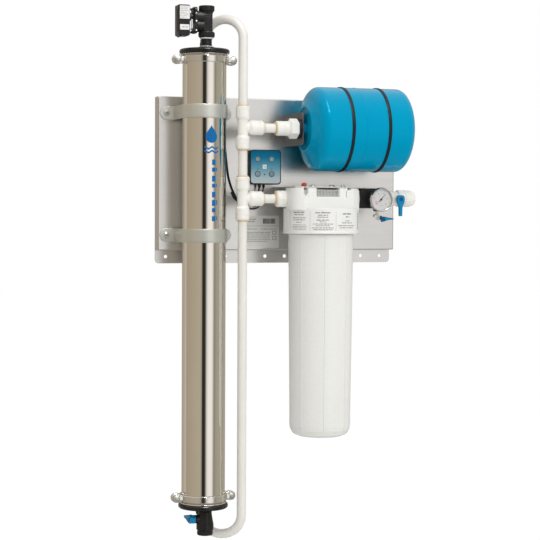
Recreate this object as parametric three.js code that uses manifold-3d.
// Wall-mounted membrane water treatment unit.
// Millimetres. +X right, +Y back towards the wall, +Z up.
// Origin: wall plane (Y = 0), middle of the panel's width (X = 0), on the centre line of the
// lower flange's hole row (Z = 0). Everything stands in front of the wall, at Y <= 0.
import * as THREE from "three";
import { mergeVertices } from "three/addons/utils/BufferGeometryUtils.js";
import Module from "manifold-3d";

const wasm = await Module();
wasm.setup();

// ---------------------------------------------------------------- shared dimensions
const GAP = 0.3;                       // clearance between touching pieces
const PANEL_DEPTH = 30;
const MOUNT_Y = -PANEL_DEPTH - GAP;    // back face of what is mounted on the panel
const PIPE_Y = -137;                   // plane of the riser, tank, filter and outlet axes

const VESSEL_X = -212, VESSEL_Y = -104, VESSEL_R = 52;
const VESSEL_TOP = 482, VESSEL_LOW = -586;
const HOOP_R = VESSEL_R + 0.4;         // bore of the straps and clamps
const PORT_Y = -121;                   // front port of each cap (valves)
const LOOP_TOP_X = -199, LOOP_LOW_X = -206, LOOP_Y = -70; // rear ports (loop tube)
const CAP_T = 13.5;
const PORT_BOSS = CAP_T + 5;           // rear port boss, height beyond the vessel's end
const SEAL_DEPTH = 20;                 // cap seal, depth inside the vessel

const STRAP_Z = [346, 52.5], STRAP_BOLT = 74, STRAP_HOLE_R = 3.5;

const TUBE_R = 11.1, TUBE_BORE = 8.5, SOCKET_BORE = 11.45;
const PASSAGE_R = 8;                   // water passage through tees and adapters
const INSERT = 20;                     // how deep a tube goes into a socket
const SEAT = 1;                        // space left beyond the tube's end
const RISER_X = -126.3;
const UPPER_Z = 309, LOWER_Z = 141;    // tee branch heights

const OUT_Z = 143.5;
const MANIFOLD_X0 = 168, MANIFOLD_X1 = 221;

// ---------------------------------------------------------------- materials
const finish = (color, roughness, metalness = 0) => ({ color, roughness, metalness });
const STEEL = finish("#c9c6c0", 0.28, 1);
const SATIN = finish("#b2b4a8", 0.45, 1);
const DARK_STEEL = finish("#4d4f50", 0.5, 0.6);
const BLACK = finish("#17181a", 0.5);
const WHITE = finish("#ecebe4", 0.45);
const BLUE = finish("#0a72c2", 0.35);
const TANK_BLUE = finish("#0590c0", 0.2);
const CAP_BLUE = finish("#1d88c9", 0.4);
const RED = finish("#b8372f", 0.4);
const MEMBRANE = finish("#dfe3e6", 0.7);
const CARTRIDGE = finish("#e9e6da", 0.9);
const KEY_GREY = finish("#c9d3d8", 0.5);
const KEY_PALE = finish("#e6eef0", 0.5);

// ---------------------------------------------------------------- solids
const WELD = 1e-4;                     // vertices closer than this become one

// Welds a geometry, drops collapsed triangles and turns the faces outwards.
function clean(source) {
  const bare = source.index ? source.toNonIndexed() : source.clone();
  for (const key of Object.keys(bare.attributes)) {
    if (key !== "position") bare.deleteAttribute(key);
  }
  const geometry = mergeVertices(bare, WELD);
  const index = geometry.index.array;
  let faces = [];
  let volume = 0;
  for (let i = 0; i < index.length; i += 3) {
    const [a, b, c] = index.slice(i, i + 3);
    if (a === b || b === c || a === c) continue;
    faces.push([a, b, c]);
    const [p, q, r] = [a, b, c].map((k) =>
      new THREE.Vector3().fromBufferAttribute(geometry.attributes.position, k));
    volume += p.dot(q.cross(r));
  }
  if (volume < 0) faces = faces.map(([a, b, c]) => [a, c, b]);
  geometry.setIndex(faces.flat());
  return geometry;
}

function toSolid(source) {
  const geometry = clean(source);
  return new wasm.Manifold(new wasm.Mesh({
    numProp: 3,
    vertProperties: new Float32Array(geometry.attributes.position.array),
    triVerts: new Uint32Array(geometry.index.array),
  }));
}

function toGeometry(solid) {
  const mesh = solid.getMesh();
  const geometry = new THREE.BufferGeometry();
  const positions = new Float32Array(mesh.vertProperties);
  geometry.setAttribute("position", new THREE.BufferAttribute(positions, 3));
  geometry.setIndex(Array.from(mesh.triVerts));
  return geometry;
}

const join = (...parts) => toGeometry(parts.map(toSolid).reduce((a, b) => a.add(b)));
const cut = (base, ...tools) =>
  toGeometry(tools.map(toSolid).reduce((a, b) => a.subtract(b), toSolid(base)));
const meet = (a, b) => toGeometry(toSolid(a).intersect(toSolid(b)));

const box = (x0, x1, y0, y1, z0, z1) =>
  new THREE.BoxGeometry(x1 - x0, y1 - y0, z1 - z0)
    .translate((x0 + x1) / 2, (y0 + y1) / 2, (z0 + z1) / 2);

// Turned shapes. Every profile is a list of [radius, height along the axis],
// running from axis to axis or closing on itself.
const turn = (profile, segments) =>
  new THREE.LatheGeometry(profile.map(([r, h]) => new THREE.Vector2(r, h)), segments);
const turnZ = (profile, x, y, segments) =>
  turn(profile, segments).rotateX(Math.PI / 2).translate(x, y, 0);
const turnX = (profile, y, z, segments) =>
  turn(profile, segments).rotateZ(-Math.PI / 2).translate(0, y, z);
// axis towards the front: heights are distances in -Y
const turnFront = (profile, x, z, segments) =>
  turn(profile, segments).rotateX(Math.PI).translate(x, 0, z);
const ring = (r0, r1, h0, h1) => [[r0, h0], [r1, h0], [r1, h1], [r0, h1], [r0, h0]];
const rod = (r, h0, h1) => [[0, h0], [r, h0], [r, h1], [0, h1]];

// Flat outlines pushed through a thickness.
const slab = (outline, depth, curveSegments) =>
  new THREE.ExtrudeGeometry(outline, { depth, bevelEnabled: false, curveSegments });
// outline in X, Y
const slabZ = (outline, z0, z1, segments) => slab(outline, z1 - z0, segments).translate(0, 0, z0);
// outline in X, Z
const slabY = (outline, y0, y1, segments) =>
  slab(outline, y1 - y0, segments).rotateX(Math.PI / 2).translate(0, y1, 0);
// outline in Y, Z
const slabX = (outline, x0, x1, segments) =>
  slab(outline, x1 - x0, segments).rotateX(Math.PI / 2).rotateZ(Math.PI / 2).translate(x0, 0, 0);

function rounded(x0, x1, y0, y1, r) {
  const outline = new THREE.Shape();
  outline.moveTo(x0 + r, y0);
  outline.lineTo(x1 - r, y0);
  outline.absarc(x1 - r, y0 + r, r, -Math.PI / 2, 0);
  outline.lineTo(x1, y1 - r);
  outline.absarc(x1 - r, y1 - r, r, 0, Math.PI / 2);
  outline.lineTo(x0 + r, y1);
  outline.absarc(x0 + r, y1 - r, r, Math.PI / 2, Math.PI);
  outline.lineTo(x0, y0 + r);
  outline.absarc(x0 + r, y0 + r, r, Math.PI, 1.5 * Math.PI);
  return outline;
}

function lineThrough(outline, points) {
  for (const [x, y] of points) outline.lineTo(x, y);
}

// A path through given points whose sections sit exactly at those points.
class PointPath extends THREE.Curve {
  constructor(points) {
    super();
    this.points = points;
  }
  getPoint(t, target = new THREE.Vector3()) {
    const last = this.points.length - 1;
    const place = Math.min(Math.max(t, 0), 1) * last;
    const i = Math.min(Math.floor(place), last - 1);
    return target.copy(this.points[i]).lerp(this.points[i + 1], place - i);
  }
  getUtoTmapping(u) {
    return u;
  }
}

function pipe(points, radius, bore, curveSegments) {
  const section = new THREE.Shape();
  section.absarc(0, 0, radius, 0, 2 * Math.PI);
  const hole = new THREE.Path();
  hole.absarc(0, 0, bore, 0, 2 * Math.PI, true);
  section.holes.push(hole);
  return new THREE.ExtrudeGeometry(section, {
    steps: points.length - 1,
    extrudePath: new PointPath(points.map((p) => new THREE.Vector3(...p))),
    bevelEnabled: false,
    curveSegments,
  });
}

const unit = new THREE.Group();
unit.name = "water_treatment_unit";

function piece(name, geometry, material, position = [0, 0, 0]) {
  const mesh = new THREE.Mesh(clean(geometry), new THREE.MeshStandardMaterial(material));
  mesh.name = name;
  mesh.geometry.computeVertexNormals();
  mesh.position.set(...position);
  unit.add(mesh);
}

// ---------------------------------------------------------------- mounting panel
const PANEL_HALF = 306, PANEL_TOP = 386, PANEL_BEND = 16, SHEET = 1.5;
const FLANGE_LOW = -16.5, FLANGE_CORNER = 9;
const HOLE_PITCH = 50.8, HOLE_COUNT = 12, HOLE_R = 4.3;

// lower flange, flat against the wall
function panelFlange() {
  const half = PANEL_HALF, r = FLANGE_CORNER, low = FLANGE_LOW;
  const outline = new THREE.Shape();
  outline.moveTo(half, PANEL_BEND + SHEET);
  lineThrough(outline, [[-half, PANEL_BEND + SHEET], [-half, low + r]]);
  outline.absarc(-half + r, low + r, r, Math.PI, 1.5 * Math.PI);
  outline.lineTo(half - r, low);
  outline.absarc(half - r, low + r, r, -Math.PI / 2, 0);
  return slabY(outline, -SHEET, 0, 5);
}

// folded tray, open towards the wall
function mountingPanel() {
  const half = PANEL_HALF, face = -PANEL_DEPTH;
  const tray = [
    box(-half, half, face, face + SHEET, PANEL_BEND, PANEL_TOP),
    box(-half, -half + SHEET, face, 0, PANEL_BEND, PANEL_TOP),
    box(half - SHEET, half, face, 0, PANEL_BEND, PANEL_TOP),
    box(-half, half, face, 0, PANEL_TOP - SHEET, PANEL_TOP),
    box(-half, half, face, 0, PANEL_BEND, PANEL_BEND + SHEET),
  ];
  const holes = [];
  for (let k = 0; k < HOLE_COUNT; k++) {
    const x = (k - (HOLE_COUNT - 1) / 2) * HOLE_PITCH;
    holes.push(turnFront(rod(HOLE_R, -2, 4), x, 0, 10));
  }
  for (const z of STRAP_Z) {
    for (const side of [-1, 1]) {
      holes.push(turnFront(rod(STRAP_HOLE_R, 26, 33), VESSEL_X + side * STRAP_BOLT, z, 10));
    }
  }
  return cut(join(...tray, panelFlange()), ...holes);
}
piece("mounting_panel", mountingPanel(), STEEL);

// ---------------------------------------------------------------- vessel straps and their bolts
const STRAP_HALF_H = 16.25, STRAP_T = 3, STRAP_HALF_W = 89.3;
const STRAP_FRONT = MOUNT_Y - STRAP_T; // front face of the ears

function vesselStrap(z) {
  const inner = HOOP_R, outer = inner + STRAP_T;
  const left = VESSEL_X - STRAP_HALF_W, right = VESSEL_X + STRAP_HALF_W;
  const outline = new THREE.Shape();
  outline.moveTo(left, MOUNT_Y);
  lineThrough(outline, [[left, STRAP_FRONT], [VESSEL_X - outer, STRAP_FRONT],
    [VESSEL_X - outer, VESSEL_Y]]);
  outline.absarc(VESSEL_X, VESSEL_Y, outer, Math.PI, 2 * Math.PI, false);
  lineThrough(outline, [[VESSEL_X + outer, STRAP_FRONT], [right, STRAP_FRONT],
    [right, MOUNT_Y], [VESSEL_X + inner, MOUNT_Y], [VESSEL_X + inner, VESSEL_Y]]);
  outline.absarc(VESSEL_X, VESSEL_Y, inner, 2 * Math.PI, Math.PI, true);
  outline.lineTo(VESSEL_X - inner, MOUNT_Y);
  const band = slabZ(outline, z - STRAP_HALF_H, z + STRAP_HALF_H, 10);
  // front view with rounded ends, a hair taller than the band
  const reach = STRAP_HALF_H + 0.01;
  const view = rounded(left, right, z - reach, z + reach, STRAP_HALF_H - 0.5);
  const holes = [-1, 1].map((side) =>
    turnFront(rod(STRAP_HOLE_R, 28, 36), VESSEL_X + side * STRAP_BOLT, z, 10));
  return cut(meet(band, slabY(view, -200, 0, 5)), ...holes);
}

function strapBolt(x, z) {
  const ear = -STRAP_FRONT;
  const profile = [[0, 24], [3.1, 24], [3.1, ear + GAP], [7.2, ear + GAP],
    [7.2, ear + 2.2], [5.6, ear + 4.4], [0, ear + 5]];
  return turnFront(profile, x, z, 10);
}

STRAP_Z.forEach((z, i) => {
  const tag = i ? "lower" : "upper";
  piece(`vessel_strap_${tag}`, vesselStrap(z), SATIN);
  piece(`strap_bolt_${tag}_left`, strapBolt(VESSEL_X - STRAP_BOLT, z), STEEL);
  piece(`strap_bolt_${tag}_right`, strapBolt(VESSEL_X + STRAP_BOLT, z), STEEL);
});

// ---------------------------------------------------------------- membrane vessel
const VESSEL_WALL = 2;
const CAP_R = 59.5, PLUG_LENGTH = 36, PLUG_R = 49.4;
const GROOVE_R = 46.4, GROOVE_HALF = 2;
const SEAL_RING_R = 48.1, SEAL_CORD_R = 1.3;
// spindle stubs at both ends of a hollow, chamfered roll
const MEMBRANE_PROFILE = [
  [8, -546], [10.5, -546], [10.5, -522], [44, -522], [47, -518], [47, 412],
  [44, 416], [10.5, 416], [10.5, 442], [8, 442], [8, -546],
];

piece("vessel_tube", turnZ(ring(VESSEL_R - VESSEL_WALL, VESSEL_R, VESSEL_LOW, VESSEL_TOP),
  VESSEL_X, VESSEL_Y, 48), STEEL);
piece("membrane_element", turnZ(MEMBRANE_PROFILE, VESSEL_X, VESSEL_Y, 18), MEMBRANE);

// Plug with a seal groove, disc with a softened rim, front port neck and rear port boss.
// outward is +1 for the top cap and -1 for the bottom one.
function endCap(outward, edge, loopX, neckEnd, neckR) {
  const at = (distance) => edge + outward * distance;
  const grooveIn = at(-SEAL_DEPTH - GROOVE_HALF), grooveOut = at(-SEAL_DEPTH + GROOVE_HALF);
  const plug = turnZ([
    [0, at(-PLUG_LENGTH)], [PLUG_R, at(-PLUG_LENGTH)],
    [PLUG_R, grooveIn], [GROOVE_R, grooveIn], [GROOVE_R, grooveOut], [PLUG_R, grooveOut],
    [PLUG_R, at(GAP)], [CAP_R, at(GAP)], [CAP_R, at(9)], [CAP_R - 4, at(12)], [0, at(CAP_T)],
  ], VESSEL_X, VESSEL_Y, 28);
  const neck = turnZ(rod(neckR, at(8), neckEnd), VESSEL_X, PORT_Y, 14);
  const boss = turnZ([[0, at(8)], [17, at(8)], [17, at(CAP_T)], [14.5, at(PORT_BOSS)],
    [0, at(PORT_BOSS)]], loopX, LOOP_Y, 12);
  return join(plug, neck, boss);
}
piece("end_cap_top", endCap(1, VESSEL_TOP, LOOP_TOP_X, 519, 12.6), BLACK);
piece("end_cap_bottom", endCap(-1, VESSEL_LOW, LOOP_LOW_X, -602.5, 14), BLACK);

for (const [tag, z] of [["top", VESSEL_TOP - SEAL_DEPTH], ["bottom", VESSEL_LOW + SEAL_DEPTH]]) {
  const seal = new THREE.TorusGeometry(SEAL_RING_R, SEAL_CORD_R, 5, 24);
  piece(`end_cap_seal_${tag}`, seal.translate(VESSEL_X, VESSEL_Y, z), BLACK);
}

// ---------------------------------------------------------------- band clamps
const CLAMP_Z = { top: 468.5, bottom: -571.5 };
const CLAMP_H = 15, CLAMP_T = 5.2, CLAMP_SPLIT = 1.5;
const LUG_R = 11.2, LUG_X = 67.5, LUG_T = 9.5, LUG_HOLE_R = 4.2;

// Half ring with a rounded lug at each end; side is -1 for the front half, +1 for the rear.
function clampHalf(side) {
  const between = (near, far) => [side * near, side * far].sort((a, b) => a - b);
  const hoop = turnZ(ring(HOOP_R, HOOP_R + CLAMP_T, -CLAMP_H / 2, CLAMP_H / 2), 0, 0, 32);
  const lugs = [-1, 1].map((end) => {
    const root = end * (HOOP_R + 1.5), start = -end * Math.PI / 2;
    const outline = new THREE.Shape();
    outline.moveTo(root, -end * LUG_R);
    outline.lineTo(end * LUG_X, -end * LUG_R);
    outline.absarc(end * LUG_X, 0, LUG_R, start, start + Math.PI);
    outline.lineTo(root, end * LUG_R);
    return cut(slabY(outline, ...between(CLAMP_SPLIT, LUG_T), 4),
      turnFront(rod(LUG_HOLE_R, -20, 20), end * LUG_X, 0, 8));
  });
  const half = box(-200, 200, ...between(CLAMP_SPLIT, 200), -50, 50);
  return cut(meet(join(hoop, ...lugs), half), turnZ(rod(HOOP_R, -60, 60), 0, 0, 32));
}
for (const [tag, z] of Object.entries(CLAMP_Z)) {
  piece(`clamp_${tag}_front`, clampHalf(-1), STEEL, [VESSEL_X, VESSEL_Y, z]);
  piece(`clamp_${tag}_rear`, clampHalf(1), STEEL, [VESSEL_X, VESSEL_Y, z]);
}

// ---------------------------------------------------------------- flush valve on the top cap
const FLUSH_Z = 567;                   // axis of the plunger
const PLUNGER_R = 5.6, PLUNGER_BORE = 6.3;
const BONNET_END = VESSEL_X - 44.3;    // left end of the plunger tube
const FLUSH_PROFILE = [
  [0, 519.6], [18.7, 519.6], [18.7, 533], [14.4, 534], [14.2, 575], [18.7, 582.5],
  [18.7, 594], [13, 594], [13, 578], [0, 578],
];

// horizontal cylinder on the plunger axis, x0 and x1 measured from the vessel's axis
const plungerRod = (radius, x0, x1, segments) =>
  turnX(rod(radius, VESSEL_X + x0, VESSEL_X + x1), PORT_Y, FLUSH_Z, segments);

function flushBody() {
  const body = turnZ(FLUSH_PROFILE, VESSEL_X, PORT_Y, 18);
  return cut(join(body, plungerRod(15, -26, 0, 14)), plungerRod(PLUNGER_BORE, -40, -12, 12));
}

// plate on the valve's left side, with the plunger tube standing out of it
function flushBonnet() {
  const outline = rounded(PORT_Y - 17.5, PORT_Y + 17.5, 528, 590, 6);
  const plate = slabX(outline, VESSEL_X - 33, VESSEL_X - 26.3, 4);
  const tube = turnX(rod(9, BONNET_END, VESSEL_X - 32), PORT_Y, FLUSH_Z, 14);
  return cut(join(plate, tube), plungerRod(PLUNGER_BORE, -46, -20, 12));
}
piece("flush_valve_body", flushBody(), BLACK);
piece("flush_valve_bonnet", flushBonnet(), BLACK);
piece("solenoid_coil",
  box(-285, BONNET_END - GAP, PORT_Y - 16.5, PORT_Y + 16.5, 521, 593.5), BLACK);
piece("solenoid_plunger", plungerRod(PLUNGER_R, -39.5, -16, 12), STEEL);

// ---------------------------------------------------------------- inlet valve, bottom cap
const INLET_Z = -622;                  // handle pivot
const INLET_PROFILE = [
  [0, -603], [16.1, -603], [16.3, -611], [20.6, -636], [20.6, -648], [18.3, -650],
  [18.3, -660.5], [13, -660.5], [13, -645], [0, -645],
];
// [Y, Z] about the pivot, after the round front end; the arm points to the wall
const INLET_ARM = [[8, -10], [27, -4.2], [45, -3], [45, 3], [27, 4.2], [8, 10]];

function inletHandle() {
  const outline = new THREE.Shape();
  outline.absarc(0, 0, 10, Math.PI / 2, 1.5 * Math.PI);
  lineThrough(outline, INLET_ARM);
  return slabX(outline, -252.5, -241.3, 10);
}
piece("inlet_valve_body", join(turnZ(INLET_PROFILE, VESSEL_X, PORT_Y, 18),
  turnX(rod(8, VESSEL_X - 29, VESSEL_X), PORT_Y, INLET_Z, 12)), BLACK);
piece("inlet_valve_handle", inletHandle(), BLUE, [0, PORT_Y, INLET_Z]);

// ---------------------------------------------------------------- loop tubes, riser and tees
const TEE_HALF = 51, TEE_RUN_R = 16.8, TEE_BODY_R = 13, TEE_BRANCH_R = 17.8;
const BRANCH_MOUTH = RISER_X + 50;
const LOOP_STEPS = 10;
// bendZ: where the bend starts; bulge: its height; shift: rise over its length
const LOOP_TOP = { startZ: UPPER_Z + TEE_HALF - INSERT, bendZ: 521, bulge: 45, shift: 1,
  endX: LOOP_TOP_X, endZ: 506.5 };
const LOOP_LOW = { startZ: LOWER_Z - TEE_HALF + INSERT, bendZ: -615, bulge: -45, shift: -8,
  endX: LOOP_LOW_X, endZ: -610.5 };

function portFitting(x, closedZ, mouthZ) {
  const floor = closedZ + Math.sign(mouthZ - closedZ) * 5;
  const profile = [[0, closedZ], [14, closedZ], [14, mouthZ], [SOCKET_BORE, mouthZ],
    [SOCKET_BORE, floor], [0, floor]];
  return turnZ(profile, x, LOOP_Y, 16);
}
piece("port_fitting_top", portFitting(LOOP_TOP_X, VESSEL_TOP + PORT_BOSS + GAP, 520), BLACK);
piece("port_fitting_bottom",
  portFitting(LOOP_LOW_X, VESSEL_LOW - PORT_BOSS - GAP, -620.5), BLACK);

// straight up or down the riser, then a half turn back to the cap's rear port
function loopTube({ startZ, bendZ, bulge, shift, endX, endZ }) {
  const points = [[RISER_X, PIPE_Y, startZ], [RISER_X, PIPE_Y, bendZ]];
  const middleX = (RISER_X + endX) / 2, middleY = (PIPE_Y + LOOP_Y) / 2;
  const halfX = (RISER_X - endX) / 2, halfY = (PIPE_Y - LOOP_Y) / 2;
  for (let i = 1; i <= LOOP_STEPS; i++) {
    const angle = (Math.PI * i) / LOOP_STEPS;
    points.push([middleX + halfX * Math.cos(angle), middleY + halfY * Math.cos(angle),
      bendZ + bulge * Math.sin(angle) + (shift * i) / LOOP_STEPS]);
  }
  points.push([endX, LOOP_Y, endZ]);
  return pipe(points, TUBE_R, TUBE_BORE, 6);
}
piece("riser_tube_upper", loopTube(LOOP_TOP), WHITE);
piece("riser_tube_lower", loopTube(LOOP_LOW), WHITE);
piece("riser_tube_middle", turnZ(
  ring(TUBE_BORE, TUBE_R, LOWER_Z + TEE_HALF - INSERT, UPPER_Z - TEE_HALF + INSERT),
  RISER_X, PIPE_Y, 14), WHITE);

// vertical run with a branch to the right
function tee(z) {
  const top = z + TEE_HALF, low = z - TEE_HALF, depth = INSERT + SEAT;
  const run = turnZ([
    [0, low], [TEE_RUN_R, low], [TEE_RUN_R, z - 22], [TEE_BODY_R, z - 18.5],
    [TEE_BODY_R, z + 18.5], [TEE_RUN_R, z + 22], [TEE_RUN_R, top], [0, top],
  ], RISER_X, PIPE_Y, 16);
  const arm = turnX([
    [0, RISER_X], [TEE_BODY_R, RISER_X], [TEE_BODY_R, RISER_X + 14],
    [TEE_BRANCH_R, RISER_X + 19], [TEE_BRANCH_R, BRANCH_MOUTH], [0, BRANCH_MOUTH],
  ], PIPE_Y, z, 16);
  return cut(join(run, arm),
    turnZ(rod(SOCKET_BORE, top - depth, top + 5), RISER_X, PIPE_Y, 14),
    turnZ(rod(SOCKET_BORE, low - 5, low + depth), RISER_X, PIPE_Y, 14),
    turnX(rod(SOCKET_BORE, BRANCH_MOUTH - depth, BRANCH_MOUTH + 5), PIPE_Y, z, 14),
    turnZ(rod(PASSAGE_R, low, top), RISER_X, PIPE_Y, 8),
    turnX(rod(PASSAGE_R, RISER_X, BRANCH_MOUTH), PIPE_Y, z, 8));
}
piece("upper_tee", tee(UPPER_Z), WHITE);
piece("lower_tee", tee(LOWER_Z), WHITE);

// ---------------------------------------------------------------- branch tubes and adapters
const BRANCH_END = -25;
const ADAPTER_FLOOR = BRANCH_END + SEAT, ADAPTER_MOUTH = -44;
const INLET_ADAPTER_END = -13.2;

for (const [name, z] of [["tank_branch_tube", UPPER_Z], ["filter_branch_tube", LOWER_Z]]) {
  const profile = ring(TUBE_BORE, TUBE_R, BRANCH_MOUTH - INSERT, BRANCH_END);
  piece(name, turnX(profile, PIPE_Y, z, 14), WHITE);
}

function tankAdapter() {
  const barrel = turnX([[0, ADAPTER_MOUTH], [16.8, ADAPTER_MOUTH], [17.7, -41], [17.7, -10],
    [0, -10]], PIPE_Y, UPPER_Z, 18);
  const hexagon = turnX([[0, -10.7], [22.5, -10.7], [24.8, -8], [24.8, 6.8], [22.5, 9.5],
    [0, 9.5]], PIPE_Y, UPPER_Z, 6);
  return cut(join(barrel, hexagon),
    turnX(rod(SOCKET_BORE, -50, ADAPTER_FLOOR), PIPE_Y, UPPER_Z, 16),
    turnX(rod(PASSAGE_R, -30, 20), PIPE_Y, UPPER_Z, 12));
}
piece("tank_adapter", tankAdapter(), WHITE);
piece("filter_inlet_adapter", turnX([
  [PASSAGE_R, INLET_ADAPTER_END], [PASSAGE_R, ADAPTER_FLOOR], [SOCKET_BORE, ADAPTER_FLOOR],
  [SOCKET_BORE, ADAPTER_MOUTH], [18.6, ADAPTER_MOUTH], [20, -41], [20, -20],
  [17, INLET_ADAPTER_END], [PASSAGE_R, INLET_ADAPTER_END],
], PIPE_Y, LOWER_Z, 18), WHITE);

// ---------------------------------------------------------------- pressure tank, axis along X
const TANK_R = 101, TANK_LEFT = 62, TANK_RIGHT = 259; // ends of the straight wall
const DOME_DEPTH = 34, DOME_POWER = 2.3;              // superelliptic ends
const NOZZLE_R = 12, NOZZLE_X = 10;
const BAND_X = { left: 117.4, right: 210.3 }, BAND_W = 8;
const BRACKET_X = 17.5, BRACKET_T = 3, BRACKET_HALF = 39, BRACKET_FRONT = -156;
const AIR_CAP_PROFILE = [[0, 293.6], [15.5, 293.6], [15.5, 296.5], [11, 301], [10, 310],
  [8, 311.5], [0, 311.5]];

const onTankAxis = (profile, segments) => turnX(profile, PIPE_Y, UPPER_Z, segments);

function pressureTank() {
  // fraction 0 is the dome's crown, 1 its rim; outward is -1 on the left, +1 on the right
  const domePoint = (fraction, edge, outward) => {
    const angle = (Math.PI / 2) * fraction;
    return [TANK_R * Math.pow(Math.sin(angle), 2 / DOME_POWER),
      edge + outward * DOME_DEPTH * Math.pow(Math.cos(angle), 2 / DOME_POWER)];
  };
  return onTankAxis([
    [0, NOZZLE_X], [NOZZLE_R, NOZZLE_X], [NOZZLE_R, 33], [46, 32.5], [50, 28.6],
    ...[0.42, 0.55, 0.68, 0.8, 0.9, 1].map((k) => domePoint(k, TANK_LEFT, -1)),
    [TANK_R, TANK_RIGHT],
    ...[0.9, 0.8, 0.68, 0.5, 0.25].map((k) => domePoint(k, TANK_RIGHT, 1)),
    [0, TANK_RIGHT + DOME_DEPTH],
  ], 32);
}

// upright plate around the nozzle, with a foot on the panel
function tankBracket() {
  const x1 = BRACKET_X + BRACKET_T, z0 = UPPER_Z - BRACKET_HALF, z1 = UPPER_Z + BRACKET_HALF;
  const plate = slabX(rounded(BRACKET_FRONT, MOUNT_Y, z0, z1, 9), BRACKET_X, x1, 5);
  const squareBack = box(BRACKET_X, x1, -60, MOUNT_Y, z0, z1);
  const foot = box(BRACKET_X, BRACKET_X + 42, MOUNT_Y - BRACKET_T, MOUNT_Y, z0, z1);
  return cut(join(plate, squareBack, foot), onTankAxis(rod(NOZZLE_R + 0.8, 0, 40), 16));
}

piece("pressure_tank", pressureTank(), TANK_BLUE);
for (const [side, x] of Object.entries(BAND_X)) {
  const profile = ring(TANK_R + GAP, TANK_R + 1.7, x - BAND_W / 2, x + BAND_W / 2);
  piece(`tank_band_${side}`, onTankAxis(profile, 32), BLACK);
}
piece("tank_air_valve_cap", onTankAxis(AIR_CAP_PROFILE, 16), CAP_BLUE);
piece("tank_bracket", tankBracket(), DARK_STEEL);
piece("tank_lock_ring", onTankAxis(ring(NOZZLE_R + 0.4, 23, NOZZLE_X, BRACKET_X - GAP), 16), BLACK);

// ---------------------------------------------------------------- filter housing, axis along Z
const FILTER_X = 72, FILTER_PORT_Z = OUT_Z - 1;
const COLLAR_R = 91, COLLAR_LOW = 57.5, COLLAR_TOP = 119, CAP_TOP = 167;
const NECK_R = 75.4, NECK_TOP = 98;
const SUMP_R = 78.2, SUMP_R_LOW = 73.2, SUMP_LOW = -431;
const SHOULDER_Z = COLLAR_LOW - GAP - 0.4;
const BUTTON_X = 20, BUTTON_Y = -160;
const BUTTON_PROFILE = [[0, 165], [5.8, 165], [5.8, 177], [3.5, 179.4], [0, 180]];

const onFilterAxis = (profile, segments) => turnZ(profile, FILTER_X, PIPE_Y, segments);

// collar open below, block on top of it, and a round bridge across with the two ports
function filterCap() {
  const collar = onFilterAxis([
    [0, COLLAR_LOW], [COLLAR_R - 1.5, COLLAR_LOW], [COLLAR_R, COLLAR_LOW + 2],
    [COLLAR_R, COLLAR_TOP - 3], [COLLAR_R - 3, COLLAR_TOP], [0, COLLAR_TOP],
  ], 32);
  const block = slabZ(rounded(-12.6, FILTER_X + 91, PIPE_Y - 66, PIPE_Y + 66, 22),
    COLLAR_TOP - 4, CAP_TOP, 6);
  const bridge = turnX(rod(24, -12.7, MANIFOLD_X0 - GAP - 0.3), PIPE_Y, FILTER_PORT_Z, 20);
  const cavity = onFilterAxis(rod(NECK_R + 0.6, COLLAR_LOW - 5, 106), 28);
  const buttonPocket = turnZ(rod(6.6, 160, 180), BUTTON_X, BUTTON_Y, 12);
  const frontRecess = box(49, 100, PIPE_Y - 80, PIPE_Y - 50, 146, 166);
  const inlet = turnX(rod(9, -20, 12), PIPE_Y, FILTER_PORT_Z, 12);
  return cut(join(collar, block, bridge), cavity, buttonPocket, frontRecess, inlet);
}

// neck inside the collar, shoulder below it, tapered shell with a rounded foot
function filterSump() {
  const bore = NECK_R - 5, foot = SUMP_R_LOW, low = SUMP_LOW;
  return onFilterAxis([
    [bore, NECK_TOP], [NECK_R, NECK_TOP], [NECK_R, SHOULDER_Z], [SUMP_R, SHOULDER_Z],
    [SUMP_R - 0.3, 30], [foot, low + 26], [foot - 3, low + 14], [foot - 11, low + 4],
    [foot - 24, low], [0, low],
    [0, low + 6], [foot - 26, low + 6], [foot - 9, low + 18], [foot - 5, low + 28],
    [bore, 30], [bore, NECK_TOP],
  ], 28);
}

// plate over the cap, with a flange down the panel and a round hole for the button
function filterBracket() {
  const left = -14, right = MANIFOLD_X0 - 1, top = CAP_TOP + 3.3;
  const plate = box(left, right, -190, MOUNT_Y, CAP_TOP + GAP, top);
  const flange = box(left, right, MOUNT_Y - 3, MOUNT_Y, 128, top);
  return cut(join(plate, flange), turnZ(rod(10, 150, 200), BUTTON_X, BUTTON_Y, 12));
}

piece("filter_cap", filterCap(), WHITE);
piece("filter_sump", filterSump(), WHITE);
piece("filter_cartridge", onFilterAxis(ring(14, 57, -412, 93), 20), CARTRIDGE);
piece("sump_seal",
  new THREE.TorusGeometry(72.6, 2, 5, 26).translate(FILTER_X, PIPE_Y, NECK_TOP + 2.4), BLACK);
piece("relief_button", turnZ(BUTTON_PROFILE, BUTTON_X, BUTTON_Y, 12), RED);
piece("filter_bracket", filterBracket(), SATIN);

// ---------------------------------------------------------------- controller
const CASE = { x0: -84, x1: -4.3, front: -61, z0: 176.2, z1: 260.6, corner: 5 };
const POCKET_FLOOR = -57, KEY_BACK = 58.6; // KEY_BACK is a distance in front of the wall
const KEY_R = 6.2, KEY_PROFILE = [[0, KEY_BACK], [KEY_R, KEY_BACK], [KEY_R, 61.8],
  [KEY_R - 0.8, 62.3], [0, 62.5]];
// centres of the round keys, [X, Z]
const KEYS = {
  key_upper_left: [-64.5, 237.4], key_upper_right: [-28.8, 237.4],
  key_lower_left: [-64.5, 201.6], key_lower_right: [-28.8, 201.6],
};
const SQUARE_KEY_X = -46.9, SQUARE_KEY_Z = 219.1, SQUARE_KEY_HALF = 5.3;

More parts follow.
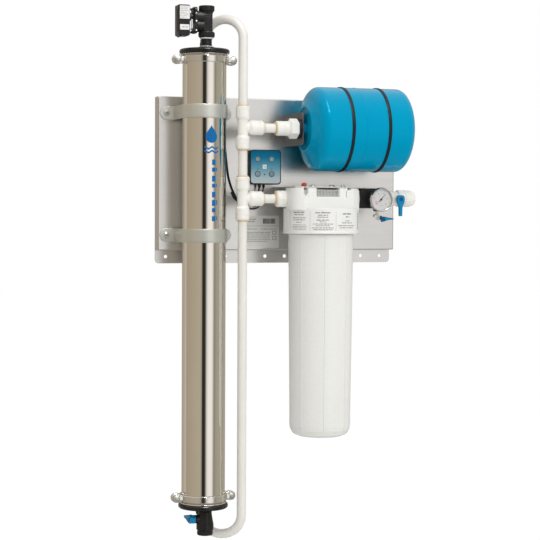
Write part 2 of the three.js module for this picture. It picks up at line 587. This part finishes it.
const squareKey = (half, y0, y1) => box(SQUARE_KEY_X - half, SQUARE_KEY_X + half, y0, y1,
  SQUARE_KEY_Z - half, SQUARE_KEY_Z + half);

function controllerCase() {
  const outline = rounded(CASE.x0, CASE.x1, CASE.z0, CASE.z1, CASE.corner);
  const pockets = Object.values(KEYS).map(([x, z]) =>
    turnFront(rod(KEY_R + 0.5, -POCKET_FLOOR, 70), x, z, 12));
  return cut(slabY(outline, CASE.front, MOUNT_Y, 3), ...pockets,
    squareKey(SQUARE_KEY_HALF + 0.4, -70, POCKET_FLOOR));
}
piece("controller_case", controllerCase(), BLACK);
for (const [name, [x, z]] of Object.entries(KEYS)) {
  piece(name, turnFront(KEY_PROFILE, x, z, 12), KEY_GREY);
}
piece("key_centre", squareKey(SQUARE_KEY_HALF, -62.3, -KEY_BACK), KEY_PALE);

// ---------------------------------------------------------------- outlet manifold and gauge
const MANIFOLD_HALF = 24.2;
const GAUGE_X = 206, GAUGE_Z = 140.5, GAUGE_R = 29;
const GAUGE_FRONT = 196;               // distance in front of the wall
const POINTER_ANGLE = 0.85;            // radians, from +X upwards

function outletManifold() {
  const halfY = MANIFOLD_HALF - 1;
  const outline = rounded(PIPE_Y - halfY, PIPE_Y + halfY,
    OUT_Z - MANIFOLD_HALF, OUT_Z + MANIFOLD_HALF, 7);
  const gaugeBoss = turnFront(rod(11, 150, 170), GAUGE_X, GAUGE_Z, 14);
  const lowerStub = turnZ(rod(5.6, 112, 125), 215, PIPE_Y, 14);
  return join(slabX(outline, MANIFOLD_X0, MANIFOLD_X1, 4), gaugeBoss, lowerStub);
}

// case with a deep rim around the dial
function gaugeCase() {
  const front = GAUGE_FRONT;
  return turnFront([
    [0, 170.3], [10, 170.3], [10, 174], [27, 175], [27, front - 9], [GAUGE_R, front - 8],
    [GAUGE_R, front - 0.5], [GAUGE_R - 3, front], [GAUGE_R - 3.5, front - 5], [0, front - 5],
  ], GAUGE_X, GAUGE_Z, 24);
}

function gaugePointer() {
  const outline = new THREE.Shape();
  outline.absarc(0, 0, 2.6, 0.35, 2 * Math.PI - 0.35);
  lineThrough(outline, [[16.5, -0.35], [16.5, 0.35]]);
  return slabY(outline, -GAUGE_FRONT + 2.2, -GAUGE_FRONT + 3.2, 8).rotateY(-POINTER_ANGLE);
}
piece("outlet_manifold", outletManifold(), BLACK);
piece("gauge_case", gaugeCase(), STEEL);
piece("gauge_pointer", gaugePointer(), BLACK, [GAUGE_X, 0, GAUGE_Z]);

// ---------------------------------------------------------------- outlet and sample valves
const OUTLET_START = MANIFOLD_X1 + GAP, OUTLET_END = 311.5;
const OUTLET_PIVOT_X = 267, OUTLET_PIVOT_Z = OUT_Z - 2;
const SAMPLE_X = 222, SAMPLE_Z = 94.5; // handle pivot

// round hub with an arm narrowing downwards to a flat tip, drawn about the pivot
function leverOutline(length, hubR, tipHalf) {
  const outline = new THREE.Shape();
  outline.moveTo(-hubR, 4);
  outline.absarc(0, 0, hubR, Math.PI, 0, true);
  lineThrough(outline, [
    [hubR, -6], [tipHalf + 0.6, -hubR * 1.9], [tipHalf, -length],
    [-tipHalf, -length], [-tipHalf - 0.6, -hubR * 1.9], [-hubR, -6],
  ]);
  return outline;
}

function outletValveBody() {
  const barrel = turnX([
    [0, OUTLET_START], [14, OUTLET_START], [14, 240], [17.5, 243], [17.5, 268], [20.3, 269.5],
    [20.3, 302], [18, 309], [15.5, OUTLET_END], [SOCKET_BORE, OUTLET_END],
    [SOCKET_BORE, OUTLET_END - 22], [0, OUTLET_END - 22],
  ], PIPE_Y, OUT_Z, 18);
  return join(barrel, turnFront(rod(9, 137, 162), OUTLET_PIVOT_X, OUTLET_PIVOT_Z, 14));
}

// body running front to back, stem up to the manifold and a small spout to the left
function sampleValveBody() {
  const body = turnFront(rod(7, 127, 150), SAMPLE_X, SAMPLE_Z, 18);
  const stem = turnZ(rod(5.6, SAMPLE_Z, 111.6), SAMPLE_X - 5, PIPE_Y, 16);
  const spout = turnX(rod(4, SAMPLE_X - 14, SAMPLE_X - 4), PIPE_Y, SAMPLE_Z + 7, 12);
  return join(body, stem, spout);
}

piece("outlet_valve_body", outletValveBody(), WHITE);
piece("outlet_valve_handle", slabY(leverOutline(41, 10.2, 3.8), -171.5, -162.4, 10), BLUE,
  [OUTLET_PIVOT_X, 0, OUTLET_PIVOT_Z]);
piece("sample_valve_body", sampleValveBody(), WHITE);
// turned so that the arm points right
piece("sample_valve_handle",
  slabY(leverOutline(31.5, 8.7, 2.2), -157.5, -150.4, 10).rotateY(-Math.PI / 2), BLUE,
  [SAMPLE_X, 0, SAMPLE_Z]);

export default unit;
